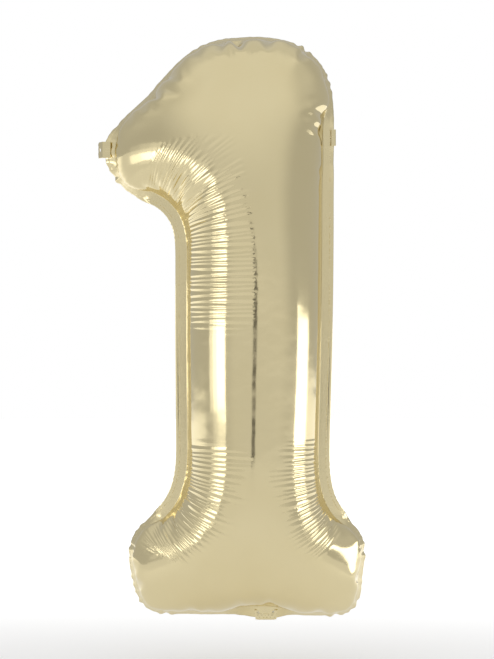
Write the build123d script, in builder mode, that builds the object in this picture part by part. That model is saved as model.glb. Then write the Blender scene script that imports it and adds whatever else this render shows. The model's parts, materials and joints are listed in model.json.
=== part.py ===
from build123d import *

import math
import os

# Foil number balloon, the figure 1, inflated. Two foil panels are heat-sealed face to face round their
# edge. A flat film valve runs through the neck, from the filling tail into the air space, and two
# tabs on the margin carry hanging threads.
# Frame in millimetres: +X is the reader's right, +Y is behind the figure, +Z is up. The origin is the
# middle of the tail's fold line, in the plane of the seam.

# Sheet thicknesses, drawn thicker than real film (0.05 mm foil, 0.03 mm valve film) so that they mesh
FOIL = 0.8
VALVE_FILM = 0.3
RELEASE_COAT = 0.1

# Air space
MARGIN = 17.0  # sealed margin outside the air space
STEM_HALF_DEPTH = 96.0  # seam plane to the front of the stem
HEAD_HALF_DEPTH = 108.0
HEAD_SWELL = (560.0, 690.0)  # heights between which the stem's depth grows to the head's
FOOT_ROUND = 175.0  # height over which the foot swells to its full depth
CROWN_ROUND = 210.0  # height over which the crown closes to its seam
SECTIONS = 22
RIM_SAMPLES = 600
FOOT_GAP = 5.0  # from the foot's seam up to the first section
CROWN_GAP = 1.5  # from the crown's seam down to the last section

# Tail, folded back under the foot
TAIL_WIDTH = 31.0
TAIL_LENGTH = 62.0
TAIL_CORNER = 6.0
TAIL_FOLD = 120.0  # degrees turned back from hanging straight down
FOLD_RELIEF = 2.0  # fold line to the fixed sheet's edge
FOLD_ROOT = 1.0  # fold line to the moving sheet's edge

# Valve
VALVE_WIDTH = 24.0
VALVE_HEIGHT = 110.0  # fold line to its open top end inside the air space
VALVE_TAIL = 50.0  # fold line to its mouth in the tail
COAT_WIDTH = 18.0
COAT_HEIGHT = 14.0
COAT_BASE = 5.0  # fold line to the coat's lower edge

# Hanging tabs: middle of each fold line, and degrees turned back from the seam plane
TAB_WIDTH = 24.0
TAB_LENGTH = 16.0
TAB_CORNER = 5.0
TAB_HOLE_RADIUS = 2.5
STUB_DEPTH = 8.0
LEFT_TAB = (-241.0, 693.0)
LEFT_TAB_TURN = 64.0
RIGHT_TAB = (103.0, 711.0)
RIGHT_TAB_TURN = 110.0


def curve(points, leave, arrive):
    """A smooth curve through the points, with its directions at both ends."""
    return Spline(*points, tangents=(leave, arrive), tangent_scalars=(1, 1))


def margin_outline():
    """The panels' cut edge after inflation, anticlockwise from the foot's lower left."""
    right, up, left, down = (1, 0), (0, 1), (-1, 0), (0, -1)
    Line((-158, 7), (112, 4))
    # Right toe, then in to the stem
    curve([(112, 4), (136, 20), (143, 66), (148, 105), (140, 129)], right, (-0.66, 0.75))
    curve([(140, 129), (106, 172), (94, 228)], (-0.66, 0.75), up)
    # Back of the stem and head
    curve([(94, 228), (97, 360), (100, 560), (100, 750)], up, up)
    # Right shoulder, crown and the slope down to the nose
    curve([(100, 750), (93, 799), (69, 836), (25, 857), (-25, 863)], up, left)
    curve([(-25, 863), (-80, 855), (-127, 826), (-165, 786), (-206, 745)], left, (-0.75, -0.66))
    # Nose, and the throat under it
    curve([(-206, 745), (-231, 720), (-238, 692), (-226, 652), (-190, 622)], (-0.75, -0.66), (0.9, -0.43))
    curve([(-190, 622), (-152, 603), (-134, 560)], (0.9, -0.43), down)
    # Front of the stem, out to the left toe and round to the start
    curve([(-134, 560), (-134, 400), (-133, 235)], down, down)
    curve([(-133, 235), (-148, 178), (-188, 137)], down, (-0.78, -0.62))
    curve([(-188, 137), (-203, 105), (-198, 58), (-187, 24), (-158, 7)], (-0.78, -0.62), right)


def quarter_round(fraction):
    """Height of a quarter circle of radius 1, with fraction 0 at its rim and 1 and over at its top."""
    drop = 1 - min(1.0, fraction)
    return math.sqrt(1 - drop * drop)


def half_depth(z, foot, crown):
    """Seam plane to the front of the skin at height z, between the foot's seam and the crown's."""
    swell = min(1.0, max(0.0, (z - HEAD_SWELL[0]) / (HEAD_SWELL[1] - HEAD_SWELL[0])))
    ease = swell * swell * (3 - 2 * swell)
    body = STEM_HALF_DEPTH + (HEAD_HALF_DEPTH - STEM_HALF_DEPTH) * ease
    return body * quarter_round((z - foot) / FOOT_ROUND) * quarter_round((crown - z) / CROWN_ROUND)


def air_width(rim, z):
    """Left and right ends of the air space at height z, from points in order along its rim."""
    crossings = []
    for start, end in zip(rim, rim[1:]):
        if min(start.Z, end.Z) <= z < max(start.Z, end.Z):
            share = (z - start.Z) / (end.Z - start.Z)
            crossings.append(start.X + share * (end.X - start.X))
    return min(crossings), max(crossings)


def inflated_body(rim, wall):
    """The air space as one solid, lofted through level ellipses, its skin set in by wall."""
    foot = min(point.Z for point in rim)
    crown = max(point.Z for point in rim)
    low = foot + FOOT_GAP + wall
    high = crown - CROWN_GAP - wall
    with BuildPart() as body:
        for step in range(SECTIONS + 1):
            # Sections crowd towards both ends, where the skin closes fastest
            z = low + (high - low) * (1 - math.cos(math.pi * step / SECTIONS)) / 2
            left, right = air_width(rim, z)
            with BuildSketch(Plane.XY.offset(z)):
                with Locations(((left + right) / 2, 0)):
                    Ellipse((right - left) / 2 - wall, half_depth(z, foot, crown) - wall)
        loft()
    return body.part


# Where the margin meets the air space
with BuildSketch(Plane.XZ) as seam_sketch:
    with BuildLine():
        margin_outline()
    make_face()
    offset(amount=-MARGIN)
seam_wire = seam_sketch.sketch.face().outer_wire()
rim = [seam_wire.position_at(index / RIM_SAMPLES) for index in range(RIM_SAMPLES + 1)]
skin = inflated_body(rim, 0)
air = inflated_body(rim, FOIL)
valve_gap = RELEASE_COAT / 2 + VALVE_FILM
air_floor = min(point.Z for point in rim) + FOOT_GAP + FOIL

# Front panel: the skin ahead of the seam plane, its margin, the neck and the two tab stubs
with BuildPart() as front_panel:
    add(skin)
    split(bisect_by=Plane.XZ, keep=Keep.TOP)
    with BuildSketch(Plane.XZ):
        with BuildLine():
            margin_outline()
        make_face()
        with Locations((0, FOLD_RELIEF)):
            Rectangle(TAIL_WIDTH, MARGIN, align=(Align.CENTER, Align.MIN))
        with Locations((LEFT_TAB[0] + FOLD_RELIEF, LEFT_TAB[1])):
            Rectangle(STUB_DEPTH, TAB_WIDTH, align=(Align.MIN, Align.CENTER))
        with Locations((RIGHT_TAB[0] - FOLD_RELIEF, RIGHT_TAB[1])):
            Rectangle(STUB_DEPTH, TAB_WIDTH, align=(Align.MAX, Align.CENTER))
    extrude(amount=FOIL)
    add(air, mode=Mode.SUBTRACT)
    # Recess where the valve passes through the seal
    with BuildSketch(Plane.XZ):
        Rectangle(VALVE_WIDTH, air_floor + FOIL, align=(Align.CENTER, Align.MIN))
    extrude(amount=valve_gap, mode=Mode.SUBTRACT)
front_panel.part.label = "front_panel"

# Rear panel: the same sheet, facing backwards
with BuildPart() as rear_panel:
    mirror(front_panel.part, about=Plane.XZ)
rear_panel.part.label = "rear_panel"

# Valve films inside the balloon: two flat strips, sealed to each other only along the neck's coat
film_height = VALVE_HEIGHT - FOLD_RELIEF
with BuildPart() as valve_front_film:
    with BuildSketch(Plane.XZ.offset(RELEASE_COAT / 2)):
        with Locations((0, FOLD_RELIEF)):
            Rectangle(VALVE_WIDTH, film_height, align=(Align.CENTER, Align.MIN))
    extrude(amount=VALVE_FILM)
valve_front_film.part.label = "valve_front_film"

with BuildPart() as valve_rear_film:
    mirror(valve_front_film.part, about=Plane.XZ)
valve_rear_film.part.label = "valve_rear_film"

# Printed coat between the valve films, which keeps the seal's heat from closing the passage
with BuildPart() as valve_release_coating:
    with BuildSketch(Plane.XZ.offset(-RELEASE_COAT / 2)):
        with Locations((0, COAT_BASE)):
            Rectangle(COAT_WIDTH, COAT_HEIGHT, align=(Align.CENTER, Align.MIN))
    extrude(amount=RELEASE_COAT)
valve_release_coating.part.label = "valve_release_coating"

# Tail: the same sheets below the fold line. Its plane is Plane.XZ turned back about the fold line, so
# that it still looks at the front ply's outside and the tail runs along the plane's -Y.
fold = math.radians(TAIL_FOLD)
tail_plane = Plane(origin=(0, 0, 0), x_dir=(1, 0, 0), z_dir=(0, -math.cos(fold), -math.sin(fold)))


def tail_ply(side):
    """One foil sheet of the tail, on the front (side 1) or the rear (side -1) of the valve."""
    with BuildPart() as ply:
        with BuildSketch(tail_plane) as outline:
            with Locations((0, -FOLD_ROOT)):
                Rectangle(TAIL_WIDTH, TAIL_LENGTH - FOLD_ROOT, align=(Align.CENTER, Align.MAX))
            fillet(outline.vertices().group_by(Axis((0, 0, 0), tail_plane.y_dir))[0], radius=TAIL_CORNER)
        extrude(amount=side * FOIL)
        with BuildSketch(tail_plane):
            Rectangle(VALVE_WIDTH, VALVE_TAIL, align=(Align.CENTER, Align.MAX))
        extrude(amount=side * valve_gap, mode=Mode.SUBTRACT)
    return ply.part


def inlet_film(side):
    """One valve film in the tail, against that side's ply."""
    with BuildPart() as film:
        with BuildSketch(tail_plane.offset(side * RELEASE_COAT / 2)):
            with Locations((0, -FOLD_ROOT)):
                Rectangle(VALVE_WIDTH, VALVE_TAIL - FOLD_ROOT, align=(Align.CENTER, Align.MAX))
        extrude(amount=side * VALVE_FILM)
    return film.part


with BuildPart() as tail_front_ply:
    add(tail_ply(1))
tail_front_ply.part.label = "tail_front_ply"

with BuildPart() as tail_rear_ply:
    add(tail_ply(-1))
tail_rear_ply.part.label = "tail_rear_ply"

with BuildPart() as valve_inlet_front_film:
    add(inlet_film(1))
valve_inlet_front_film.part.label = "valve_inlet_front_film"

with BuildPart() as valve_inlet_rear_film:
    add(inlet_film(-1))
valve_inlet_rear_film.part.label = "valve_inlet_rear_film"


def hang_tab(fold_point, direction, turn):
    """A tab of both sheets welded together. direction is -1 on the left edge and 1 on the right."""
    angle = math.radians(turn)
    outward = Vector(direction * math.cos(angle), math.sin(angle), 0)
    plane = Plane(origin=(fold_point[0], 0, fold_point[1]), x_dir=outward, z_dir=outward.cross(Vector(0, 0, 1)))
    with BuildPart() as tab:
        with BuildSketch(plane) as outline:
            with Locations((FOLD_ROOT, 0)):
                Rectangle(TAB_LENGTH, TAB_WIDTH, align=(Align.MIN, Align.CENTER))
            fillet(outline.vertices().group_by(Axis(plane.origin, outward))[-1], radius=TAB_CORNER)
            with Locations((FOLD_ROOT + TAB_LENGTH / 2, 0)):
                Circle(TAB_HOLE_RADIUS, mode=Mode.SUBTRACT)
        extrude(amount=FOIL, both=True)
    return tab.part


with BuildPart() as left_hang_tab:
    add(hang_tab(LEFT_TAB, -1, LEFT_TAB_TURN))
left_hang_tab.part.label = "left_hang_tab"

with BuildPart() as right_hang_tab:
    add(hang_tab(RIGHT_TAB, 1, RIGHT_TAB_TURN))
right_hang_tab.part.label = "right_hang_tab"

os.makedirs("parts", exist_ok=True)
export_step(front_panel.part, "parts/front_panel.step")
export_step(rear_panel.part, "parts/rear_panel.step")
export_step(valve_front_film.part, "parts/valve_front_film.step")
export_step(valve_rear_film.part, "parts/valve_rear_film.step")
export_step(valve_release_coating.part, "parts/valve_release_coating.step")
export_step(tail_front_ply.part, "parts/tail_front_ply.step")
export_step(tail_rear_ply.part, "parts/tail_rear_ply.step")
export_step(valve_inlet_front_film.part, "parts/valve_inlet_front_film.step")
export_step(valve_inlet_rear_film.part, "parts/valve_inlet_rear_film.step")
export_step(left_hang_tab.part, "parts/left_hang_tab.step")
export_step(right_hang_tab.part, "parts/right_hang_tab.step")
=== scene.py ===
"""Looks of the inflated foil number balloon.

The two foil panels are made the way the real ones are: a flat pattern is cut, its two sheets are joined
along the seam, and pressure blows them up while the film resists stretching. The pattern is corrected
until the inflated seam lands where the CAD panel's outline asks for it. Pleats, gathers and the margin are
added after that. Lengths are in millimetres until meshes are made.
"""

import json
import math

import bmesh
import bpy
import numpy as np
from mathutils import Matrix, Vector
from mathutils.geometry import delaunay_2d_cdt


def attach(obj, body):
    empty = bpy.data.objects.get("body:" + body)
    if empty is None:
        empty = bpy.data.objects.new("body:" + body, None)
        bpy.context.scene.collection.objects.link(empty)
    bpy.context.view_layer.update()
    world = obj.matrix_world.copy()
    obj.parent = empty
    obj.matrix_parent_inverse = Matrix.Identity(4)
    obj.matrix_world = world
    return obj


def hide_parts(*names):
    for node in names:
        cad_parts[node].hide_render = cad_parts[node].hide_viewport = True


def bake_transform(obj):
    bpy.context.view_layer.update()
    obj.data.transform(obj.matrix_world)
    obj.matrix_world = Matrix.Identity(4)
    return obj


MM = 0.001
TAIL_WIDTH = 31.0
MARGIN = 17.0  # sealed margin outside the air space
WELD = 11.5  # part of the margin, next to the air space, that the heat seal covers
COARSE = 16.0  # spacing of the first simulation mesh
FIT_ROUNDS = 12
FIRST_GUESS = 43.0  # how far outside the inflated seam the flat one is first cut
KEY = 10**7  # larger than any vertex count: packs a vertex pair into one number


# ---- closed curves


def resample(loop, count):
    """A closed curve as count points, evenly spaced along it."""
    closed = np.vstack([loop, loop[:1]])
    length = np.concatenate([[0], np.cumsum(np.linalg.norm(np.diff(closed, axis=0), axis=1))])
    wanted = np.arange(count) * length[-1] / count
    return np.column_stack([np.interp(wanted, length, closed[:, axis]) for axis in range(2)])


def unit(vectors):
    return vectors / np.linalg.norm(vectors, axis=1)[:, None]


def perimeter(loop):
    return np.linalg.norm(loop - np.roll(loop, 1, axis=0), axis=1).sum()


def smooth(values, passes):
    """A closed run of values with its small bumps spread out."""
    for _ in range(passes):
        values = (np.roll(values, 1, axis=0) + 2 * values + np.roll(values, -1, axis=0)) / 4
    return values


def outward(loop):
    """Unit normals of an anticlockwise closed curve, pointing out of it."""
    along = unit(np.roll(loop, -1, axis=0) - np.roll(loop, 1, axis=0))
    return np.column_stack([along[:, 1], -along[:, 0]])


def on_curve(loop, place):
    """Points and outward normals of the smooth closed curve through loop, at fractional indices."""
    count = len(loop)
    base = np.floor(place).astype(int)
    t = (place - base)[:, None]
    p0, p1, p2, p3 = (loop[(base + shift) % count] for shift in (-1, 0, 1, 2))
    square, cube = 2 * p0 - 5 * p1 + 4 * p2 - p3, 3 * p1 - p0 - 3 * p2 + p3
    point = 0.5 * (2 * p1 + (p2 - p0) * t + square * t**2 + cube * t**3)
    slope = unit((p2 - p0) + 2 * square * t + 3 * cube * t**2)
    return point, np.column_stack([slope[:, 1], -slope[:, 0]])


def area_in(loop):
    """The area within a closed curve, negative when it runs clockwise."""
    ahead = np.roll(loop, -1, axis=0)
    return (loop[:, 0] * ahead[:, 1] - loop[:, 1] * ahead[:, 0]).sum() / 2


def inside(loop, points):
    """Which points lie inside a closed curve."""
    x, z = points[:, 0], points[:, 1]
    result = np.zeros(len(points), bool)
    for (x0, z0), (x1, z1) in zip(loop, np.roll(loop, -1, axis=0)):
        if z0 != z1:
            result ^= ((z0 > z) != (z1 > z)) & (x < (x1 - x0) * (z - z0) / (z1 - z0) + x0)
    return result


def gap_to(loop, points):
    """Distance from each point to a closed curve."""
    gap = np.full(len(points), np.inf)
    for start, end in zip(loop, np.roll(loop, -1, axis=0)):
        side = end - start
        t = np.clip((points - start) @ side / (side @ side), 0, 1)
        gap = np.minimum(gap, np.linalg.norm(points - (start + t[:, None] * side), axis=1))
    return gap


# ---- triangles


def directed_sides(faces):
    """The triangles' sides as vertex pairs: all the first sides, then the second and the third."""
    return np.vstack([faces[:, [0, 1]], faces[:, [1, 2]], faces[:, [2, 0]]])


def sides_of(faces):
    """The same sides, each with its smaller number first."""
    return np.sort(directed_sides(faces), axis=1)


def key_of(sides):
    """One number for each side, which two triangles that share the side have in common."""
    return sides @ np.array([KEY, 1])


def loops(after):
    """Closed chains of vertices, from a table that gives each vertex's follower."""
    while after:
        start = next(iter(after))
        chain = [start]
        step = after.pop(start)
        while step != start and step in after:
            chain.append(step)
            step = after.pop(step)
        yield chain


def stack(*triangles):
    """Triangles given as columns of first, second and third corners, in one array."""
    return np.vstack([np.column_stack(corners) for corners in triangles])


def quarters(v0, v1, v2, m01, m12, m20):
    """The four triangles that a triangle is cut into at the middles of its sides."""
    return stack((v0, m01, m20), (m01, v1, m12), (m20, m12, v2), (m01, m12, m20))


def summed_normals(faces, at):
    """At each vertex, the sum of its triangles' normals, each as long as twice the triangle's area."""
    a, b, c = (at[faces[:, corner]] for corner in range(3))
    normal = np.cross(b - a, c - a)
    return np.column_stack([
        np.bincount(faces.ravel(), weights=np.repeat(normal[:, axis], 3), minlength=len(at))
        for axis in range(3)
    ])


# ---- the CAD panel's cut edge


def cut_edge(node):
    """The CAD panel's cut edge, anticlockwise in (x, z), read off the outside face of its margin."""
    mesh = node.data
    mesh.calc_loop_triangles()
    corners = np.array([v.co for v in mesh.vertices]) / MM
    points, merged = np.unique(np.round(corners, 3), axis=0, return_inverse=True)
    triangles = merged.reshape(-1)[np.array([t.vertices for t in mesh.loop_triangles])]
    leftmost = points[points[:, 0] < points[:, 0].min() + 0.1]
    level = leftmost[np.argmax(np.abs(leftmost[:, 1])), 1]
    flat = triangles[(np.abs(points[triangles][:, :, 1] - level) < 0.01).all(axis=1)]
    flat = flat[(flat[:, 0] != flat[:, 1]) & (flat[:, 1] != flat[:, 2]) & (flat[:, 2] != flat[:, 0])]
    sides = {(a, b) for t in flat for a, b in ((t[0], t[1]), (t[1], t[2]), (t[2], t[0]))}
    after = {a: b for a, b in sides if (b, a) not in sides}
    edge = max((points[chain][:, [0, 2]] for chain in loops(after)), key=lambda loop: abs(area_in(loop)))
    return edge if area_in(edge) > 0 else edge[::-1]


# ---- the flat pattern


class Foil:
    """Two sheets that share their seam and margin. flat is the cut pattern and at is where it is now.

    place is a vertex's fractional index along the seam loop and out its distance outside the seam, both
    NaN in the air space's film. front, rear and margin are triangles.
    """

    def edges(self):
        return np.unique(sides_of(np.vstack([self.front, self.rear, self.margin])), axis=0)


def lattice_in(seam, spacing):
    """The points of a triangular lattice that lie inside the seam and clear of it."""
    low, high = seam.min(axis=0), seam.max(axis=0)
    rows = []
    for row, z in enumerate(np.arange(low[1], high[1], spacing * math.sqrt(3) / 2)):
        x = np.arange(low[0] + spacing / 2 * (row % 2), high[0], spacing)
        rows.append(np.column_stack([x, np.full(len(x), z)]))
    lattice = np.vstack(rows)
    lattice = lattice[inside(seam, lattice)]
    return lattice[gap_to(seam, lattice) > 0.62 * spacing]


def lay_out(seam, lattice):
    """The flat pattern meshed with triangles, its two sheets a little apart."""
    count = len(seam)
    sheet = np.vstack([seam, lattice])
    rim = [(index, (index + 1) % count) for index in range(count)]
    _, _, faces, *_ = delaunay_2d_cdt([Vector(p) for p in sheet], rim, [], 1, 1e-6)
    ring = np.arange(count)
    outer = len(sheet) + ring
    next_outer = np.roll(outer, -1)
    twin = np.arange(len(sheet) + count)
    twin[count:len(sheet)] = len(twin) + np.arange(len(lattice))
    foil = Foil()
    foil.front = np.array(faces)
    foil.rear = twin[foil.front][:, ::-1]
    foil.margin = stack((ring, outer, next_outer), (ring, next_outer, np.roll(ring, -1)))
    foil.twin = twin
    foil.count = count
    foil.span = 1.0
    total = len(twin) + len(lattice)
    foil.flat = np.zeros((total, 2))
    foil.place = np.full(total, np.nan)
    foil.out = np.full(total, np.nan)
    for line, out in ((ring, 0), (outer, MARGIN)):
        foil.place[line] = ring
        foil.out[line] = out
    foil.lattice = slice(count, len(sheet))
    cut_pattern(foil, seam, lattice)
    foil.at = np.column_stack([foil.flat[:, 0], np.zeros(total), foil.flat[:, 1]])
    foil.at[foil.lattice, 1] = -2
    foil.at[twin[foil.lattice], 1] = 2
    return foil


def cut_pattern(foil, seam, lattice):
    """Sets the coarse pattern's flat shape from its seam loop and the points within it."""
    foil.seam = seam
    foil.flat[:foil.count] = seam
    foil.flat[foil.lattice] = lattice
    outer = np.where(foil.out == MARGIN)[0]
    foil.flat[outer] = seam + outward(seam) * MARGIN
    foil.flat[foil.twin[foil.lattice]] = lattice


def refine(foil):
    """Splits every triangle in four. New points on the seam and margin go on the pattern's smooth curve."""
    groups = [foil.front, foil.rear, foil.margin]
    faces = np.vstack(groups)
    sides = sides_of(faces)
    _, first, which = np.unique(key_of(sides), return_index=True, return_inverse=True)
    a, b = sides[first].T
    old = len(foil.flat)
    middle = old + which.reshape(3, -1).T
    apart = foil.place[b] - foil.place[a]
    apart -= foil.count * np.round(apart / foil.count)
    place = (foil.place[a] + apart / 2) % foil.count
    out = (foil.out[a] + foil.out[b]) / 2
    place[~(np.abs(apart) < 1.5 * foil.span)] = np.nan
    out[np.isnan(place)] = np.nan
    flat = (foil.flat[a] + foil.flat[b]) / 2
    known = ~np.isnan(place)
    point, normal = on_curve(foil.seam, place[known])
    flat[known] = point + normal * out[known][:, None]
    foil.flat = np.vstack([foil.flat, flat])
    foil.at = np.vstack([foil.at, (foil.at[a] + foil.at[b]) / 2])
    foil.place = np.concatenate([foil.place, place])
    foil.out = np.concatenate([foil.out, out])
    foil.span /= 2
    split = []
    done = 0
    for group in groups:
        split.append(quarters(*group.T, *middle[done:done + len(group)].T))
        done += len(group)
    foil.front, foil.rear, foil.margin = split


# ---- inflation


def batches(pairs, total):
    """Groups of pairs in which no vertex comes twice, so that a whole group can be corrected at once."""
    chance = np.random.default_rng(1)
    left = np.arange(len(pairs))
    groups = []
    while len(left):
        shuffled = chance.permutation(left)
        rank = np.arange(len(shuffled))
        first = np.full(total, len(pairs))
        np.minimum.at(first, pairs[shuffled, 0], rank)
        np.minimum.at(first, pairs[shuffled, 1], rank)
        free = (first[pairs[shuffled, 0]] == rank) & (first[pairs[shuffled, 1]] == rank)
        groups.append(shuffled[free])
        left = shuffled[~free]
    return groups


def across_edges(groups):
    """Pairs of vertices that face each other across an edge shared by two triangles."""
    found = []
    for faces in groups:
        facing = np.concatenate([faces[:, 2], faces[:, 0], faces[:, 1]])
        key = key_of(sides_of(faces))
        order = np.argsort(key, kind="stable")
        shared = np.where(key[order][1:] == key[order][:-1])[0]
        found.append(np.column_stack([facing[order[shared]], facing[order[shared + 1]]]))
    return np.unique(np.sort(np.vstack(found), axis=1), axis=0)


def inflate(foil, steps, push, crush, bend, drag=0.93, jitter=0.0, most=1.5):
    """Blows the foil up. Film hardly stretches; crush is how much it resists being gathered and bend how
    much it resists folding, both 0 to 1. push gives the pressure, in millimetres per step."""
    at = foil.at.copy()
    total = len(at)
    rules = []
    facing = across_edges([foil.front, foil.rear, foil.margin])
    for pairs, is_edge in ((facing, False), (foil.edges(), True)):
        rest = np.linalg.norm(foil.flat[pairs[:, 0]] - foil.flat[pairs[:, 1]], axis=1)
        for group in batches(pairs, total):
            rules.append((pairs[group, 0], pairs[group, 1], rest[group], is_edge))
    skin = np.vstack([foil.front, foil.rear])
    cell = np.median(rules[-1][2]) ** 2 * math.sqrt(3)
    at[:, 1] += np.random.default_rng(3).normal(0, 1, total) * jitter
    before = at.copy()
    for step in range(steps):
        force = summed_normals(skin, at)
        move = (at - before) * drag + push(step / steps) * force / (3 * cell)
        size = np.sqrt((move * move).sum(axis=1))
        before = at.copy()
        at = at + move * np.minimum(1, most / (size + 1e-9))[:, None]
        for i, j, rest, is_edge in rules:
            between = at[j] - at[i]
            length = np.sqrt((between * between).sum(axis=1)) + 1e-12
            excess = (length - rest) / length
            if is_edge:
                share = np.where(excess > 0, excess, excess * crush) / 2
            else:
                share = np.minimum(excess, 0) * bend / 2
            shift = between * share[:, None]
            at[i] += shift
            at[j] -= shift
    foil.at = at


def settle_on(foil, target):
    """Turns and shifts the inflated foil in its own plane so that its seam lies best on the target."""
    foil.at[:, 1] -= foil.at[foil.out >= 0, 1].mean()
    seam = np.where(foil.out == 0)[0]
    for _ in range(4):
        points = foil.at[seam][:, [0, 2]]
        near = target[nearest_on(target, points)[0]]
        centre, goal = points.mean(axis=0), near.mean(axis=0)
        p, q = points - centre, near - goal
        angle = math.atan2((p[:, 0] * q[:, 1] - p[:, 1] * q[:, 0]).sum(), (p * q).sum())
        turn = np.array([[math.cos(angle), -math.sin(angle)], [math.sin(angle), math.cos(angle)]])
        foil.at[:, [0, 2]] = (foil.at[:, [0, 2]] - centre) @ turn.T + goal
    return foil.at[seam][:, [0, 2]]


def spread_in(foil, loop_shift):
    """The seam loop's shift carried smoothly into the lattice points within it."""
    pairs = foil.edges()
    pairs = pairs[(pairs < foil.lattice.stop).all(axis=1)]
    ends = np.concatenate([pairs[:, 0], pairs[:, 1]])
    others = np.concatenate([pairs[:, 1], pairs[:, 0]])
    shift = np.zeros((foil.lattice.stop, 2))
    shift[:foil.count] = loop_shift
    degree = np.bincount(ends, minlength=len(shift))
    for _ in range(400):
        for axis in range(2):
            total = np.bincount(ends, weights=shift[others, axis], minlength=len(shift))
            shift[foil.lattice, axis] = (total / degree)[foil.lattice]
    return shift[foil.lattice]


def fit_pattern(target):
    """Finds the flat pattern whose seam, once inflated, lies on the target, and returns its coarse foil."""
    guess = target + outward(target) * FIRST_GUESS
    seam = smooth(resample(guess, int(perimeter(guess) / COARSE)), 3)
    foil = lay_out(seam, lattice_in(seam, COARSE))
    inflate(foil, 420, lambda t: 0.3 if t < 0.4 else 0.06, crush=0.03, bend=0.02, drag=0.95, jitter=0.5)
    for _ in range(FIT_ROUNDS):
        line = settle_on(foil, target)
        normal = outward(smooth(line, 4))
        nearest = target[nearest_on(target, line)[0]]
        short = smooth(((nearest - line) * normal).sum(axis=1), 4)
        seam = foil.seam + smooth(outward(foil.seam) * short[:, None] * 1.2, 2)
        lattice = foil.flat[foil.lattice] + spread_in(foil, seam - foil.seam)
        cut_pattern(foil, seam, lattice)
        inflate(foil, 60, lambda t: 0.06, crush=0.03, bend=0.02, drag=0.9)
    return foil


def blow_up(target):
    """The inflated foil, from the fitted coarse pattern to a fine mesh."""
    foil = fit_pattern(target)
    refine(foil)
    inflate(foil, 280, lambda t: 0.015, crush=0.2, bend=0.05, jitter=0.1)
    refine(foil)
    inflate(foil, 240, lambda t: 0.006 * (1 - 0.6 * t), crush=0.6, bend=0.1, jitter=0.1)
    settle_on(foil, target)
    return foil


# ---- the margin's set

MARGIN_TURN = 66.0  # degrees that the margin leans back where the outline bulges
RUFFLE_TURN = 16.0  # degrees that a ruffle swings it either way
RUFFLE_PITCH = 15.0
LINE_STEP = 2.0  # spacing of the points of the outline and of the seam
BEND_PASSES = 160  # smoothing that leaves a line's corners but not its ripples


def bending(line, passes):
    """Curvature of a closed curve of evenly spaced points, in 1/mm, smoothed."""
    along = np.roll(line, -1, axis=0) - line
    heading = np.arctan2(along[:, 1], along[:, 0])
    turn = (heading - np.roll(heading, 1) + math.pi) % (2 * math.pi) - math.pi
    return smooth(turn / LINE_STEP, passes)


def ease(value, low, high):
    """0 below low, 1 above high and smooth between."""
    t = np.clip((value - low) / (high - low), 0, 1)
    return t * t * (3 - 2 * t)


def margin_set(outline, holds):
    """For each outline point: how many degrees the margin leans back there, and how ruffled it is, 0 to 1.

    It stays flat beside the stem, and flatter at the holds, where the neck and the hanging tabs join it,
    by each hold's grip, up to its near distance and less and less to its far one.
    """
    free = np.ones(len(outline))
    for (x, z), grip, near, far in holds:
        free *= 1 - grip * (1 - ease(np.hypot(outline[:, 0] - x, outline[:, 1] - z), near, far))
    bulge = ease(bending(outline, 1400), 0.0001, 0.0008)
    tight = ease(bending(outline, BEND_PASSES), 0.0045, 0.010)
    return MARGIN_TURN * smooth(bulge * free, 40), smooth(np.maximum(tight, 0.12 * bulge), 20)


# ---- one sheet of the foil


class Sheet:
    """One side of the foil, within the seam. For each vertex: at, in space; flat, in the pattern; depth,
    millimetres in from the seam; and along, where on the seam it is nearest to, as a fractional index."""

    def __init__(self, foil, skin):
        used, renumbered = np.unique(skin, return_inverse=True)
        self.at = foil.at[used]
        self.flat = foil.flat[used]
        self.faces = renumbered.reshape(-1, 3)

    def facing(self):
        """Unit normals at the vertices."""
        total = summed_normals(self.faces, self.at)
        return total / (np.linalg.norm(total, axis=1)[:, None] + 1e-12)

    def rim(self):
        """The boundary's vertices in order."""
        keys = key_of(sides_of(self.faces))
        _, first, times = np.unique(keys, return_index=True, return_counts=True)
        after = dict(directed_sides(self.faces)[first[times == 1]].tolist())
        return np.array(next(loops(after)))


SEAM_CALM = 0.72  # how much of the simulated seam's wander off its line is taken away
FILM_CALM = 0.3  # how strongly the plain film is smoothed; the pleated film takes PLEAT_CALM
PLEAT_CALM = 0.75


def calm(foil, target):
    """Smooths the seam as a closed line in space, and returns its vertices in order."""
    seam = np.where(foil.out == 0)[0]
    seam = seam[np.argsort(foil.place[seam])]
    line = foil.at[seam]
    nearest, _ = nearest_on(target, line[:, [0, 2]])
    line[:, [0, 2]] += SEAM_CALM * (target[nearest] - line[:, [0, 2]])
    line[:, 1] *= 1 - SEAM_CALM
    foil.at[seam] = smooth(line, 20)
    return seam


def relax(sheet, passes, weight):
    """Smooths the film inside a fixed rim without shrinking it. weight is 0 to 1 for each vertex."""
    a, b = np.unique(sides_of(sheet.faces), axis=0).T
    degree = np.bincount(np.concatenate([a, b]), minlength=len(sheet.at))[:, None]
    weight = weight.copy()
    weight[sheet.rim()] = 0
    for turn in range(2 * passes):
        total = np.column_stack([
            np.bincount(a, column[b], len(column)) + np.bincount(b, column[a], len(column))
            for column in sheet.at.T
        ])
        pull = 0.6 if turn % 2 == 0 else -0.62
        sheet.at = sheet.at + (total / degree - sheet.at) * (weight * pull)[:, None]


def nearest_on(line, points):
    """For each point, the index of the nearest point of a line and the distance to it."""
    index = np.empty(len(points), int)
    gap = np.empty(len(points))
    for start in range(0, len(points), 4000):
        block = slice(start, start + 4000)
        apart = ((points[block][:, None] - line[None]) ** 2).sum(axis=2)
        index[block] = apart.argmin(axis=1)
        gap[block] = np.sqrt(apart.min(axis=1))
    return index, gap


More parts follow.
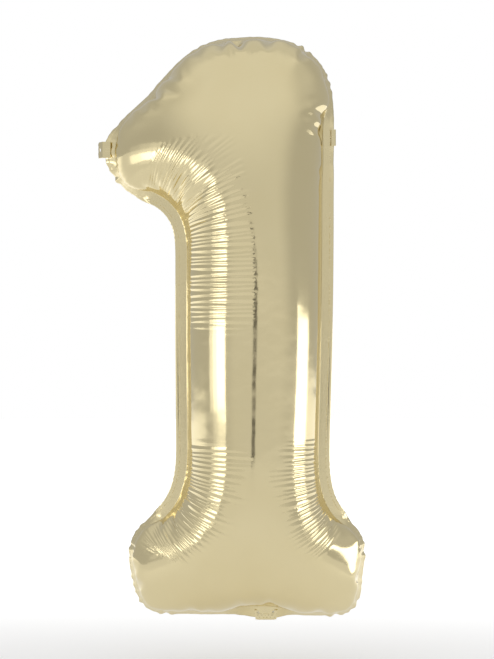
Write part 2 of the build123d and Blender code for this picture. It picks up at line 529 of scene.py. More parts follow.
def measure_seam(sheet, rim):
    """Fills in each vertex's depth, and along to a fraction of a step, rim being the pattern's seam."""
    _, sheet.depth = nearest_on(rim, sheet.flat)
    sheet.depth[sheet.rim()] = 0
    guide = smooth(rim, 200)
    index, gap = nearest_on(guide, sheet.flat)
    tangent = unit(np.roll(guide, -1, axis=0) - np.roll(guide, 1, axis=0))
    fan = 1 - np.minimum(0, bending(guide, 4)[index]) * gap
    past = ((sheet.flat - guide[index]) * tangent[index]).sum(axis=1)
    sheet.along = (index + np.clip(past / (fan * LINE_STEP), -0.6, 0.6)) % len(rim)


def along_seam(values, along):
    """Values given at every rim point, read at fractional indices."""
    return np.interp(along, np.arange(len(values) + 1), np.append(values, values[0]))


def bowed_middles(sheet, a, b):
    """The middles of edges, moved on to the curve that the film's normals at their ends ask for."""
    normal = sheet.facing()
    chord = sheet.at[b] - sheet.at[a]
    bow_a, bow_b = (normal[end] * (chord * normal[end]).sum(axis=1)[:, None] for end in (a, b))
    return (sheet.at[a] + sheet.at[b]) / 2 + (bow_b - bow_a) / 8


def split_where(sheet, wanted):
    """Splits the wanted faces in four and their neighbours in two or three."""
    faces = sheet.faces
    sides = sides_of(faces)
    _, first, which = np.unique(key_of(sides), return_index=True, return_inverse=True)
    which = which.reshape(3, -1).T
    cut = np.zeros(len(first), bool)
    cut[which[wanted].ravel()] = True
    a, b = sides[first][cut].T
    number = np.full(len(first), -1)
    number[cut] = len(sheet.at) + np.arange(cut.sum())
    sheet.at = np.vstack([sheet.at, bowed_middles(sheet, a, b)])
    sheet.flat = np.vstack([sheet.flat, (sheet.flat[a] + sheet.flat[b]) / 2])
    middle = number[which]
    has = middle >= 0
    made = [faces[~has.any(axis=1)]]
    whole = has.all(axis=1)
    made.append(quarters(*faces[whole].T, *middle[whole].T))
    for turn in range(3):
        side, following, last = turn, (turn + 1) % 3, (turn + 2) % 3
        one = has[:, side] & ~has[:, following] & ~has[:, last]
        v0, v1, v2 = faces[one][:, [side, following, last]].T
        m01 = middle[one][:, side]
        made.append(stack((v0, m01, v2), (m01, v1, v2)))
        two = has[:, side] & has[:, following] & ~has[:, last]
        v0, v1, v2 = faces[two][:, [side, following, last]].T
        m01, m12 = middle[two][:, [side, following]].T
        made.append(stack((m01, v1, m12), (v0, m01, m12), (v0, m12, v2)))
    sheet.faces = np.vstack(made)


# ---- pleats and gathers

PLEAT_PITCH = 7.0  # between pleats where they cross the crest
PLEAT_CREST = 85.0  # from the seam to the crest
PLEAT_DEPTH = 1.1
PLEAT_BEGINS = (6, 26)  # from the seam
PLEAT_LENGTH = (10.0, 160.0)  # longest pleat: this much, and this much more for each radian of the corner
PLEAT_REACH = 120.0  # along the seam, how far beyond a corner pleats may still be found
PLEAT_SPREAD = 24.0  # along the seam, how far before a corner they begin, and run on after a plain one
PLEAT_RUN_ON = 230.0  # how much further they run on for each radian that the corner turns past PLAIN_TURN
PLAIN_TURN = 0.8
GATHER_PITCH = 9.5
GATHER_DEPTH = 0.34
GATHER_LENGTH = 26.0
CORNER_GATHERS = 0.8  # how gathered the seam is in an inner corner, 0 to 1


def inner_corners(bend, spots):
    """The seam's concave corners as (first index, last index, how far it turns in radians), given its bend
    and its place in space at every rim point."""
    concave = bend < -0.0025
    ahead = np.roll(spots, -8, axis=0) - np.roll(spots, 8, axis=0)
    heading = np.arctan2(ahead[:, 1], ahead[:, 0])
    corners = []
    for start in np.where(concave & ~np.roll(concave, 1))[0]:
        stop = start
        while concave[stop % len(bend)]:
            stop += 1
        turn = (heading[start] - heading[stop % len(bend)]) % (2 * math.pi)
        if 0.4 < turn < math.pi:
            corners.append((start, stop, turn))
    return corners


def pleat_run(bend, start, stop, turn, chance):
    """At the rim points round a corner: the number of pleats that have been passed, and their strength."""
    reach = int(PLEAT_REACH / LINE_STEP)
    run = np.arange(start - reach, stop + reach)
    inward = np.maximum(0, -bend[run % len(bend)])
    phase = np.cumsum((1 + inward * PLEAT_CREST) * LINE_STEP / PLEAT_PITCH)
    for wander in (1.3, 0.37):  # the pitch is a little uneven
        phase += 0.2 * np.sin(wander * phase + chance.uniform(0, 6))
    run_on = PLEAT_SPREAD + PLEAT_RUN_ON * max(0, turn - PLAIN_TURN)
    window = 1 - ease((start - run) * LINE_STEP, 0, PLEAT_SPREAD)
    window *= 1 - ease((run - stop) * LINE_STEP, 0.4 * run_on, run_on)
    return phase, window * ease(turn, 0.2, 0.9)


def pleats(sheet, rim, corners, seed):
    """How far the pleats at the inner corners lift each vertex, and how strong they may be there."""
    chance = np.random.default_rng(seed)
    bend = bending(rim, BEND_PASSES)
    height = np.zeros(len(sheet.at))
    strength = np.zeros(len(sheet.at))
    reach = int(PLEAT_REACH / LINE_STEP)
    for start, stop, turn in corners:
        phase, window = pleat_run(bend, start, stop, turn, chance)
        steps = np.arange(len(phase))
        local = (sheet.along - start + reach) % len(rim)
        near = (local < len(phase)) & (sheet.depth < 200)
        count = int(phase[-1]) + 3
        tall = chance.uniform(0.65, 1.0, count)
        tall *= np.where(chance.uniform(0, 1, count) < 0.12, 1.5, 1)  # now and then a taller one
        begins = chance.uniform(*PLEAT_BEGINS, count)
        length = PLEAT_LENGTH[0] + PLEAT_LENGTH[1] * turn
        ends = length * chance.uniform(0.7, 1, count)
        here, far = local[near], sheet.depth[near]
        fine = np.interp(here, steps, phase)
        fine = fine + 0.12 * np.sin(far / 31 + 1.7 * fine)
        number = np.clip(np.floor(fine).astype(int), 0, count - 1)
        along = ease(far, begins[number] - 4, begins[number] + 14)
        along = along * (1 - ease(far, 0.6 * ends[number], ends[number]))
        wave = np.abs(np.sin(math.pi * fine)) - 0.5
        force = np.interp(here, steps, window)
        height[near] += PLEAT_DEPTH * tall[number] * force * along * wave
        allowed = force * ease(far, 0, 8) * (1 - ease(far, 0.65 * length, length))
        strength[near] = np.maximum(strength[near], allowed)
    return height, strength


def gathers(sheet, wave, gathered):
    """The short flutes that run in from a gathered seam. wave and gathered are given at every rim point."""
    fade = 1 - ease(sheet.depth, 0, GATHER_LENGTH)
    return GATHER_DEPTH * along_seam(wave, sheet.along) * along_seam(gathered, sheet.along) * fade


def crease(sheet, rim, corners, wave, gathered, seed):
    """Meshes the measured sheet finely where it is pleated or gathered, and raises pleats and flutes."""
    for level in range(2):
        _, strength = pleats(sheet, rim, corners, seed)
        fluted = (sheet.depth < GATHER_LENGTH) & (along_seam(gathered, sheet.along) > 0.05)
        wanted = (strength > 0.8) & (sheet.depth < 90) if level else (strength > 0.25) | fluted
        split_where(sheet, wanted[sheet.faces].all(axis=1))
        measure_seam(sheet, rim)
    height, _ = pleats(sheet, rim, corners, seed)
    height = height + gathers(sheet, wave, gathered)
    normal = sheet.facing()
    edge = sheet.rim()
    normal[edge, 1] = 0
    sheet.at = sheet.at + normal * height[:, None]


MARGIN_ROWS = (1.5, 4, 7, 10, 11, 11.8, 12.8, 14.5, 16, 17, 17)
VALVE_LIFT = 1.1  # how far the valve in the neck keeps each ply off the seam plane
PLY_GAPS = (0.06, 0.12, 0.12, 0.12, 0.12, 0.3, 0.42, 0.42, 0.36, 0.2, 0.02)


def add_margin(sheet, lean, swing, side):
    """Grows the sealed margin out of the sheet's rim. lean and swing, in degrees, are given at every rim
    point; side is 1 for the sheet that faces the reader."""
    edge = sheet.rim()
    line = sheet.at[edge]
    centre = smooth(line, 24)
    tangent = np.roll(centre, -1, axis=0) - np.roll(centre, 1, axis=0)
    tangent[:, 1] = 0
    tangent = unit(tangent) * side
    outwards = np.column_stack([tangent[:, 2], np.zeros(len(edge)), -tangent[:, 0]])
    angle = np.radians(smooth(along_seam(lean + swing, sheet.along[edge]), 4))[:, None]
    behind = np.array([[0.0, 1.0, 0.0]])
    away = outwards * np.cos(angle) + behind * np.sin(angle)
    face = (outwards * np.sin(angle) - behind * np.cos(angle)) * side
    low = line[:, 2] < 60
    over_valve = ease(TAIL_WIDTH / 2 + 1 - np.abs(line[:, 0]), 0, 4) * low
    sheet.at[edge] = line + face * (VALVE_LIFT * over_valve)[:, None]
    rows = [edge]
    sheet.out = np.zeros(len(sheet.at))
    for out, gap in zip(MARGIN_ROWS, PLY_GAPS):
        rows.append(len(sheet.at) + np.arange(len(edge)))
        lift = np.maximum(gap, VALVE_LIFT * over_valve)[:, None]
        sheet.at = np.vstack([sheet.at, line + away * out + face * lift])
        sheet.out = np.concatenate([sheet.out, np.full(len(edge), float(out))])
    made = [sheet.faces]
    for inner, outer in zip(rows, rows[1:]):
        following = np.roll(inner, -1)
        made.append(stack((inner, outer, following), (following, outer, np.roll(outer, -1))))
    sheet.faces = np.vstack(made)


# ---- Blender objects


def new_object(name, data):
    """An object of that mesh, light or camera, in the scene."""
    made = bpy.data.objects.new(name, data)
    bpy.context.scene.collection.objects.link(made)
    return made


def make_mesh(name, points, faces, material):
    """A smooth-shaded mesh object from points in millimetres."""
    mesh = bpy.data.meshes.new(name)
    mesh.from_pydata((np.asarray(points) * MM).tolist(), [], np.asarray(faces).tolist())
    mesh.polygons.foreach_set("use_smooth", [True] * len(mesh.polygons))
    mesh.materials.append(material)
    mesh.update()
    return new_object(name, mesh)


class Graph:
    """The node tree of a material or the world. Its methods add nodes and return their output sockets, and
    what they are given may be sockets or plain values."""

    def __init__(self, owner):
        owner.use_nodes = True
        self.nodes = owner.node_tree.nodes
        self.links = owner.node_tree.links

    def feed(self, socket, given):
        if isinstance(given, bpy.types.NodeSocket):
            self.links.new(given, socket)
        else:
            socket.default_value = given

    def add(self, kind, result, given, **settings):
        """A node of that kind, with its settings made before it is given its inputs."""
        node = self.nodes.new("ShaderNode" + kind)
        for name, value in settings.items():
            setattr(node, name, value)
        for name, value in given.items():
            self.feed(node.inputs[name], value)
        return node.outputs[result]

    def place(self, kind):
        return self.add("TexCoord", kind, {})

    def axes(self, kind):
        """The place's x, y and z."""
        return self.add("SeparateXYZ", slice(None), {0: self.place(kind)})

    def math(self, operation, first, second=0.0):
        return self.add("Math", 0, {0: first, 1: second}, operation=operation)

    def times(self, first, second):
        return self.math("MULTIPLY", first, second)

    def plus(self, first, second):
        return self.math("ADD", first, second)

    def step(self, value, low, high):
        """Goes smoothly from 0 where the value is low to 1 where it is high."""
        given = {"From Min": low, "From Max": high, "Value": value}
        return self.add("MapRange", "Result", given, interpolation_type="SMOOTHSTEP")

    def spread(self, value, low, high):
        """A 0 to 1 value put between low and high."""
        return self.add("MapRange", "Result", {"To Min": low, "To Max": high, "Value": value})

    def noise(self, place, scale, detail=2.0):
        """An uneven 0 to 1 value, with that many bumps per metre."""
        return self.add("TexNoise", "Fac", {"Scale": scale, "Detail": detail, "Vector": place})

    def mix(self, kind, share, first, second):
        return self.add("Mix", "Result", {"Factor": share, "A": first, "B": second}, data_type=kind)

    def bump(self, height, strength, distance):
        given = {"Strength": strength, "Distance": distance, "Height": height}
        return self.add("Bump", "Normal", given)


def new_material(name):
    """A material, its graph and its shader's inputs."""
    material = bpy.data.materials.new(name)
    graph = Graph(material)
    return material, graph, graph.nodes["Principled BSDF"].inputs


def foil_material(name):
    """Metallised film: a pale gold mirror, a little uneven, with the heat seal's grain in the margin and a
    crimped line where the weld ends."""
    material, graph, shader = new_material(name)
    shader["Metallic"].default_value = 1.0
    place = graph.place("Object")
    dark_gold, light_gold = (0.760, 0.655, 0.385, 1), (0.800, 0.700, 0.435, 1)
    graph.feed(shader["Base Color"], graph.mix("RGBA", graph.noise(place, 14), dark_gold, light_gold))
    out = graph.add("Attribute", "Fac", {}, attribute_name="out_mm")
    weld = graph.times(graph.step(out, 0.5, 1.5), graph.step(out, WELD + 0.5, WELD - 0.5))
    line = graph.times(graph.step(out, WELD - 0.6, WELD), graph.step(out, WELD + 1.3, WELD + 0.6))
    rough = graph.spread(graph.noise(place, 45, 3), 0.07, 0.15)
    graph.feed(shader["Roughness"], graph.plus(rough, graph.times(weld, 0.10)))
    grain = graph.add("TexVoronoi", "Distance", {"Scale": 900, "Vector": place})
    crimp = graph.step(graph.noise(place, 260, 1), 0.47, 0.6)
    height = graph.times(graph.noise(place, 30, 2), 0.35)
    height = graph.plus(height, graph.times(graph.times(grain, weld), 0.10))
    height = graph.plus(height, graph.times(graph.times(crimp, line), 0.8))
    graph.feed(shader["Normal"], graph.bump(height, 0.5, 0.0006))
    return material


def film_material(name, colour, cloud, roughness, clear):
    """A loose plastic film or a print on it, cloudy between two colours."""
    material, graph, shader = new_material(name)
    place = graph.place("Object")
    tint = graph.mix("RGBA", graph.noise(place, 120, 3), (*colour, 1), (*cloud, 1))
    graph.feed(shader["Base Color"], tint)
    graph.feed(shader["Roughness"], graph.spread(graph.noise(place, 300), roughness, roughness + 0.15))
    shader["Transmission Weight"].default_value = clear
    graph.feed(shader["Normal"], graph.bump(graph.noise(place, 400, 2), 0.3, 0.0003))
    return material


def paint_node(name, material):
    """Gives a CAD node that still shows a finished material."""
    node = frame["nodes"][name]
    for slot in node.material_slots:
        slot.link = "OBJECT"
        slot.material = material


# ---- camera, studio and floor

CAMERA_AT = (-0.028, -3.2, 0.428)
SENSOR_HEIGHT = 36.0
VIEW_HEIGHT = 0.972025  # metres that the picture is tall, in the plane of the figure


def set_camera():
    """A level camera straight in front of the figure."""
    data = bpy.data.cameras.new("camera")
    camera = new_object("camera", data)
    bpy.context.scene.camera = camera
    data.sensor_fit = "VERTICAL"
    data.sensor_height = SENSOR_HEIGHT
    data.lens = SENSOR_HEIGHT * -CAMERA_AT[1] / VIEW_HEIGHT
    camera.location = CAMERA_AT
    camera.rotation_euler = (math.pi / 2, 0, 0)


# The studio's pale surroundings, as the film mirrors them: azimuths, their soft edge, elevations and their
# soft edge, all in degrees, and the brightness that they add to STUDIO. Azimuth 0 is towards the camera
# and grows to the reader's right.
STUDIO = 0.54
SURROUNDINGS = (
    ((-48, 60), 16, (-90, 50), 12, 0.17),
    ((-100, 100), 20, (22, 95), 14, 0.13),
    ((-200, 200), 1, (50, 95), 12, 0.17),
)

# Soft boxes beside the object: the azimuth of the edge nearer the lens, those of the far edges of its three
# layers, lowest and highest point in metres, and brightness. The layers make its far edge a soft one.
SOFT_BOX_DISTANCE = 1.1
SOFT_BOXES = (
    ("left_low", -52, (-64, -70, -76), 0.12, 0.27, 0.5),
    ("left", -51, (-67, -74, -81), 0.28, 0.52, 2.0),
    ("left_top", -51, (-67, -74, -81), 0.53, 0.72, 0.3),
    ("right", 78, (103, 105, 107), 0.02, 0.43, 2.0),
)


def add_soft_boxes():
    for name, near, far_edges, low, high, brightness in SOFT_BOXES:
        for step, far in enumerate(far_edges):
            turn = math.radians((near + far) / 2)
            place = Vector((math.sin(turn), -math.cos(turn), 0)) * SOFT_BOX_DISTANCE
            data = bpy.data.lights.new(f"{name}_box_{step}", "AREA")
            data.shape = "RECTANGLE"
            data.size = 2 * SOFT_BOX_DISTANCE * math.tan(math.radians(abs(far - near) / 2))
            data.size_y = high - low
            data.energy = brightness / len(far_edges) * math.pi * data.size * data.size_y
            lamp = new_object(data.name, data)
            lamp.visible_camera = False
            lamp.location = place * (1 - 0.01 * step)  # the layers a little apart
            lamp.location.z = (low + high) / 2
            lamp.rotation_euler = Vector((-place.x, -place.y, 0)).to_track_quat("-Z", "Y").to_euler()


def set_surroundings():
    """A pale studio that the film mirrors, white where the camera sees it."""
    world = bpy.data.worlds.new("studio")
    bpy.context.scene.world = world
    graph = Graph(world)
    background = graph.nodes["Background"].inputs
    background["Color"].default_value = (1, 1, 1, 1)
    x, y, z = graph.axes("Generated")
    azimuth = graph.times(graph.math("ARCTAN2", x, graph.times(y, -1)), 180 / math.pi)
    elevation = graph.times(graph.math("ARCSINE", z), 180 / math.pi)
    light = STUDIO
    for sides, side_edge, heights, height_edge, power in SURROUNDINGS:
        window = power
        for value, (low, high), edge in ((azimuth, sides, side_edge), (elevation, heights, height_edge)):
            window = graph.times(window, graph.step(value, low - edge, low + edge))
            window = graph.times(window, graph.step(value, high + edge, high - edge))
        light = graph.plus(light, window)
    seen = graph.add("LightPath", "Is Camera Ray", {})
    graph.feed(background["Strength"], graph.mix("FLOAT", seen, light, 1.0))


def add_stage(name, points, colour):
    """A matt surface with one face. Returns it, its paint's graph and the inputs of its paint's shader."""
    mesh = bpy.data.meshes.new(name)
    mesh.from_pydata(points, [], [tuple(range(len(points)))])
    paint, graph, shader = new_material(name + "_paint")
    shader["Base Color"].default_value = (*colour, 1)
    shader["Roughness"].default_value = 1.0
    mesh.materials.append(paint)
    surface = new_object(name, mesh)
    return surface, graph, shader


FLOOR_RADIUS = 9.0
FLOOR_DROP = 0.075  # below the object, clear of the tail when it hangs down
FLOOR_GLOW = (0.2, 0.66)  # the floor's own light, in front of the object and well behind it
GLOW_RISES = (-0.1, 1.4)  # from here to here, in metres behind the object


def add_floor():
    """A plain pale disc under the object, with painted light: it glows a little in front of the object and
    more behind it, so that it whitens into the background.
    """
    ring = [
        (FLOOR_RADIUS * math.cos(a), FLOOR_RADIUS * math.sin(a), -FLOOR_DROP)
        for a in np.linspace(0, 2 * math.pi, 96, endpoint=False)
    ]
    _, graph, shader = add_stage("floor", ring, (0.85, 0.85, 0.85))
    shader["Specular IOR Level"].default_value = 0.0
    # painted light: the floor glows white, weakly in front of the object and more strongly behind it
    shader["Emission Color"].default_value = (1, 1, 1, 1)
    rise = graph.step(graph.axes("Object")[1], *GLOW_RISES)
    glow = graph.times(rise, FLOOR_GLOW[1] - FLOOR_GLOW[0])
    graph.feed(shader["Emission Strength"], graph.plus(glow, FLOOR_GLOW[0]))


CARD_SIDES = (-0.2, 0.16)
CARD_HEIGHTS = (0.15, 0.33)
CARD_Y = -3.25


def add_dark_card():
    """A dark card just behind the lens, which the round stem mirrors as a thin upright line."""
    (left, right), (low, high) = CARD_SIDES, CARD_HEIGHTS
    corners = [(x, CARD_Y, z) for x, z in ((left, low), (right, low), (right, high), (left, high))]
    card, _, _ = add_stage("dark_card", corners, (0.06, 0.055, 0.05))
    card.visible_camera = False
    card.visible_shadow = False


# ---- tail, neck and tabs


def make_shell(name, grids, material, closed=False):
    """A thin piece between two grids of points. closed joins its first and last columns."""
    top, bottom = grids
    rows, columns = top.shape[:2]
    points = np.vstack([top.reshape(-1, 3), bottom.reshape(-1, 3)])
    number = np.arange(rows * columns).reshape(rows, columns)
    if closed:
        number = np.column_stack([number, number[:, :1]])
    under = number + rows * columns
    faces = []
    for upper, flip in ((number, False), (under, True)):
        a, b, c, d = upper[:-1, :-1], upper[:-1, 1:], upper[1:, 1:], upper[1:, :-1]
        corners = (d, c, b, a) if flip else (a, b, c, d)
        faces.append(np.stack([k.ravel() for k in corners], axis=1))
    walls = [(number[0], under[0], True), (number[-1], under[-1], False)]
    if not closed:
        walls += [(number[:, 0], under[:, 0], False), (number[:, -1], under[:, -1], True)]
    for upper, lower, flip in walls:
        wall = np.stack([upper[:-1], upper[1:], lower[1:], lower[:-1]], axis=1)
        faces.append(wall[:, ::-1] if flip else wall)
    piece = make_mesh(name, points, np.vstack(faces), material)
    mesh = bmesh.new()
    mesh.from_mesh(piece.data)
    bmesh.ops.recalc_face_normals(mesh, faces=mesh.faces)
    mesh.to_mesh(piece.data)
    mesh.free()
    return piece


TAIL_LENGTH = 62.0
TAIL_CORNER = 6.0
TAIL_TURN = math.radians(30)  # at rest the tail points back and this far up
TAIL_ALONG = np.array([0, math.cos(TAIL_TURN), math.sin(TAIL_TURN)])
TAIL_FACE = np.array([0, math.sin(TAIL_TURN), -math.cos(TAIL_TURN)])  # towards the front ply
FILM = 0.1  # thickness drawn for one loose film


def tail_wave(x, y):
    """How far the whole tail, both plies, stands off its plane."""
    return 0.9 * np.sin(y / 11 + 0.5) * np.sin(x / 9 + y / 37) * ease(y, 3, 22)


def add_tail(material):
    """The filling tail's two plies, welded along both sides and a little open between."""
    y = np.linspace(1.0, TAIL_LENGTH, 60)[:, None]
    nearing = np.maximum(0, y - (TAIL_LENGTH - TAIL_CORNER))
    half = TAIL_WIDTH / 2 - TAIL_CORNER + np.sqrt(np.maximum(0, TAIL_CORNER**2 - nearing**2))
    across = np.linspace(-1, 1, 41)[None, :]
    x = half * across
    y = y + 0 * x
    belly = 0.08 + 0.62 * ease(TAIL_WIDTH / 2 - 1.6 - np.abs(x), 0, 2.2)
    belly = belly + 0.9 * ease(y, 40, TAIL_LENGTH) * ease(11 - np.abs(x), 0, 9)
    crinkle = 0.12 * np.sin(x * 1.9 + 2 * np.sin(y / 8)) * ease(22 - y, 0, 18)
    plies = (("tail_front_foil", "tail_front_ply", 1), ("tail_rear_foil", "tail_rear_ply", -1))
    for name, node, side in plies:
        sheets = []
        for lift in (FILM, 0):
            off = tail_wave(x, y) + crinkle + side * (belly + lift)
            place = x[..., None] * np.array([1.0, 0, 0]) + y[..., None] * TAIL_ALONG
            sheets.append(place + off[..., None] * TAIL_FACE)
        piece = make_shell(name, sheets, material)
        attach(piece, "tail")
        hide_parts(node)


def fold_path(start, turn, along, radius, steps=14):
    """Points and normals of a strip's middle line in a plane: straight to the fold, round it, and on."""
    tangent_length = radius * math.tan(turn / 2)
    points = [(s, 0.0) for s in np.linspace(-start, -tangent_length, 10)]
    angles = [0.0] * 10
    for angle in np.linspace(0, turn, steps)[1:]:
        points.append((-tangent_length + radius * math.sin(angle), radius * (1 - math.cos(angle))))
        angles.append(angle)
    last = np.array(points[-1])
    for s in np.linspace(0, along, 8)[1:]:
        points.append(tuple(last + s * np.array([math.cos(turn), math.sin(turn)])))
        angles.append(turn)
    points, angles = np.array(points), np.array(angles)
    return points, np.column_stack([-np.sin(angles), np.cos(angles)])


def stand_off(path, normal, off):
    """Where points at a distance off a fold's path are, along and across the unfolded strip."""
    return (path[:, axis][:, None] + normal[:, axis][:, None] * off for axis in (0, 1))


def add_neck(material):
    """The neck's two plies, gathered where they come out of the margin, folded back into the tail."""
    path, normal = fold_path(start=15, turn=math.radians(120), along=4, radius=1.1)
    x = np.linspace(-TAIL_WIDTH / 2, TAIL_WIDTH / 2, 61)
    height = np.maximum(0, -path[:, 0])[:, None]
    flare = 1 + 0.10 * ease(height, 5, 15)
    hidden = ease(height, 5, 12)
    flute = 0.42 * np.sin(x * 1.15 + 0.6 * np.sin(x * 0.31))
    flute = flute * (0.25 + 0.75 * ease(height, 1.5, 5)) * (1 - hidden)
    thick = 0.30 + 0.48 * ease(TAIL_WIDTH / 2 - 0.3 - np.abs(x), 0, 3.0)[None, :] * (1 - hidden)
    sheets = []
    for side in (1, -1):
        down, back = stand_off(path, normal, flute + side * thick)
        sheets.append(np.stack([x[None, :] * flare, back, -down], axis=2))
    piece = make_shell("neck_fold", sheets, material)
    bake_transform(piece)


TAB_WIDTH = 24.0
TAB_LENGTH = 16.0
TAB_CORNER = 5.0
TAB_HOLE = (9.0, 2.5)  # middle's distance from the fold line, and radius
TAB_SKIN = 0.35  # half the drawn thickness of a tab


def tab_edge(angle):
    """Distance from the hole's middle to the tab's edge in that direction (0 is away from the fold)."""
    reach = np.full(angle.shape, np.inf)
    walls = ((TAB_LENGTH - TAB_HOLE[0], np.cos(angle)), (TAB_HOLE[0] - 1.2, -np.cos(angle)))
    for distance, lean in walls + ((TAB_WIDTH / 2, np.abs(np.sin(angle))),):
        reach = np.minimum(reach, np.where(lean > 1e-6, distance / np.maximum(lean, 1e-6), np.inf))
    for side in (-1, 1):
        middle = np.array([TAB_LENGTH - TAB_HOLE[0] - TAB_CORNER, side * (TAB_WIDTH / 2 - TAB_CORNER)])
        ray = np.stack([np.cos(angle), np.sin(angle)])
        nearest = middle @ ray
        miss = (middle**2).sum() - nearest**2
        far = nearest + np.sqrt(np.maximum(0, TAB_CORNER**2 - miss))
        beyond = (reach * ray[0] > middle[0]) & (side * reach * ray[1] > side * middle[1])
        reach = np.where(beyond & (miss < TAB_CORNER**2), far, reach)
    return reach


def add_tab(name, node, body, fold, turn, material):
    """A hanging tab, turned back by turn at its fold line, whose middle is fold."""
    side = math.copysign(1, fold[0])
    out = np.array([side * math.cos(turn), math.sin(turn), 0])
    face = np.array([side * math.sin(turn), -math.cos(turn), 0])
    up = np.array([0, 0, 1.0])
    angle = np.linspace(0, 2 * math.pi, 120, endpoint=False)
    edge = tab_edge(angle)
    share = np.linspace(0, 1, 12)[:, None]
    reach = TAB_HOLE[1] + (edge - TAB_HOLE[1]) * share
    u = TAB_HOLE[0] + reach * np.cos(angle)
    v = reach * np.sin(angle)
    curl = 0.5 * (v / 12) ** 2 * ease(u, 2, 16) + 0.18 * np.sin(v * 0.9) * ease(np.hypot(u - 9, v), 3, 9)
    skin = TAB_SKIN * (0.45 + 0.55 * ease(edge - reach, 0, 1.0))
    flat = fold + u[..., None] * out + v[..., None] * up
    sheets = [flat + (curl + way * skin)[..., None] * face for way in (1, -1)]
    piece = make_shell(name, sheets, material, closed=True)
    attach(piece, body)
    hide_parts(node)


def add_tab_fold(name, fold, turn, root, material):
    """The strip, from root millimetres inside the fold line, that joins a hanging tab to the panels."""
    side = math.copysign(1, fold[0])
    path, normal = fold_path(start=root, turn=turn, along=2.0, radius=0.8)
    v = np.linspace(-TAB_WIDTH / 2, TAB_WIDTH / 2, 41)
    flute = 0.09 * np.sin(v * 1.1 + np.sin(v * 0.4)) * ease(-path[:, 0], 0.5, 4)[:, None]
    sheets = []
    for way in (1, -1):
        along, back = stand_off(path, normal, flute - way * 0.5)
        sheets.append(np.stack([fold[0] + side * along, back, fold[2] + v[None, :] + 0 * along], axis=2))
    strip = make_shell(name, sheets, material)
    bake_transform(strip)


# ---- the balloon


def flat_size(seam):
    """Width, height and area, in metres, of one panel as it is cut, with its margin."""
    cut = seam + outward(seam) * MARGIN
    return np.ptp(cut, axis=0) * MM, abs(area_in(cut)) * MM * MM


def ripple(count, pitch, seed):
    """An uneven wave of about that pitch, in millimetres, along a closed line of count points."""
    chance = np.random.default_rng(seed)
    waves = round(count * LINE_STEP / pitch)
    place = np.arange(count) * 2 * math.pi / count
    drift, swell = (
        sum(chance.uniform(0.4, 1) * np.sin(k * place + chance.uniform(0, 6)) for k in range(*waves_round))
        for waves_round in ((9, 60, 4), (13, 60, 7))
    )
    return np.clip(0.55 + 0.35 * swell, 0.08, 1.3) * np.sin(waves * place + 0.4 * drift)


def seam_places(foil, seam, rim_places):
    """Where the points of the pattern's seam are now, in the seam plane."""
    whole = np.concatenate([foil.place[seam], [foil.count]])
    at = np.vstack([foil.at[seam], foil.at[seam[:1]]])
    return np.column_stack([np.interp(rim_places, whole, at[:, axis]) for axis in (0, 2)])


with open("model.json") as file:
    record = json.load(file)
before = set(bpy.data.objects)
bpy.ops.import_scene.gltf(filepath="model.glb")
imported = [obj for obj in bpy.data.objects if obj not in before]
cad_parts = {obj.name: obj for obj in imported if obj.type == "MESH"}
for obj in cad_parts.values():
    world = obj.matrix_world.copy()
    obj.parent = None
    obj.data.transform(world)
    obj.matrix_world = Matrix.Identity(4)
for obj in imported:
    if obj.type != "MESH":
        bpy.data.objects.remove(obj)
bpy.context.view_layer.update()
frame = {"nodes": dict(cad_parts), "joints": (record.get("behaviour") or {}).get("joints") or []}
bpy.context.scene.view_settings.view_transform = "Standard"
set_camera()
set_surroundings()
add_soft_boxes()
add_floor()
add_dark_card()

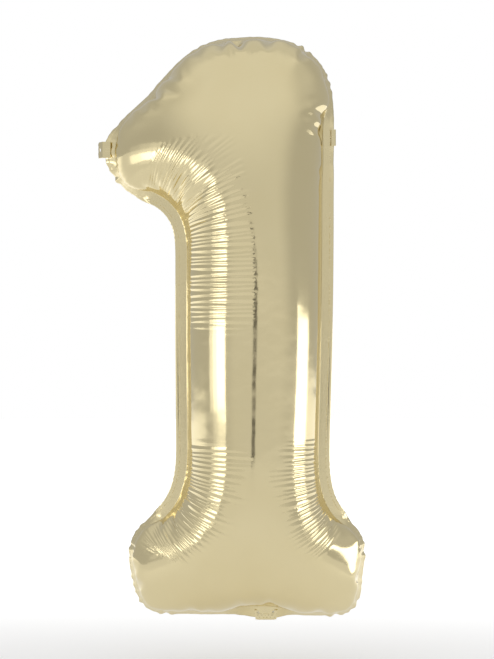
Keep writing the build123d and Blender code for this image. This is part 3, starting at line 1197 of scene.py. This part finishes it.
film = foil_material("champagne_film")
joints = {joint["name"]: joint for joint in frame["joints"]}
holds = [
    (np.array(joints[name]["pos_m"])[[0, 2]] / MM, grip, near, far) for name, grip, near, far in (
        ("tail_fold", 1.0, 18, 33), ("left_tab_fold", 0.8, 14, 48), ("right_tab_fold", 0.8, 14, 60))
]
edge = cut_edge(frame["nodes"]["front_panel"])
outline = smooth(resample(edge, int(perimeter(edge) / LINE_STEP)), 50)
lean, ruffled = margin_set(outline, holds)
target = outline - outward(outline) * (MARGIN * np.cos(np.radians(lean)))[:, None]
target = smooth(resample(target, len(outline)), 10)
foil = blow_up(target)
seam = calm(foil, target)
rim_places = np.linspace(0, foil.count, int(perimeter(foil.seam) / LINE_STEP), endpoint=False)
rim, _ = on_curve(foil.seam, rim_places)
spots = seam_places(foil, seam, rim_places)
nearest, _ = nearest_on(outline, spots)
lean, ruffled = smooth(lean[nearest], 10), smooth(ruffled[nearest], 10)
flutes = ripple(len(rim), GATHER_PITCH, 5)
swing = smooth(RUFFLE_TURN * ruffled * ripple(len(rim), RUFFLE_PITCH, 6), 2)
corners = inner_corners(bending(outline, BEND_PASSES)[nearest], spots)
puckered = np.zeros(len(rim))
for start, stop, turn in corners:
    puckered[np.arange(start, stop) % len(rim)] = CORNER_GATHERS
gathered = np.maximum(ruffled, smooth(puckered, 12))
panel, panel_area = flat_size(foil.seam)
for name, node, skin, side, seed in (
    ("front_foil", "front_panel", foil.front, 1, 11),
    ("rear_foil", "rear_panel", foil.rear, -1, 12),
):
    sheet = Sheet(foil, skin)
    measure_seam(sheet, rim)
    near_gathers = (1 - ease(sheet.depth, 20, 70)) * ease(along_seam(ruffled, sheet.along), 0, 0.1)
    _, pleated = pleats(sheet, rim, corners, seed)
    relax(sheet, 50, np.maximum(FILM_CALM, np.maximum(near_gathers, PLEAT_CALM * pleated)))
    crease(sheet, rim, corners, flutes, gathered, seed)
    add_margin(sheet, lean, swing, side)
    piece = make_mesh(name, sheet.at, sheet.faces, film)
    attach(piece, "balloon")
    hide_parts(node)
    out_mm = piece.data.attributes.new("out_mm", "FLOAT", "POINT")
    out_mm.data.foreach_set("value", sheet.out.astype(np.float32))

clear_film = film_material("valve_film", (0.80, 0.82, 0.80), (0.90, 0.91, 0.88), 0.22, 0.55)
ink = film_material("release_ink", (0.80, 0.82, 0.80), (0.84, 0.86, 0.84), 0.55, 0.0)
for name in ("valve_front_film", "valve_rear_film", "valve_inlet_front_film", "valve_inlet_rear_film"):
    paint_node(name, clear_film)
paint_node("valve_release_coating", ink)
add_tail(film)
add_neck(film)
for tab, turn, root in (("left", math.radians(64), 12), ("right", math.radians(110), 7)):
    fold = np.array(joints[f"{tab}_tab_fold"]["pos_m"]) / MM
    add_tab(f"{tab}_tab_film", f"{tab}_hang_tab", f"{tab}_tab", fold, turn, film)
    add_tab_fold(f"{tab}_tab_film_fold", fold, turn, root, film)
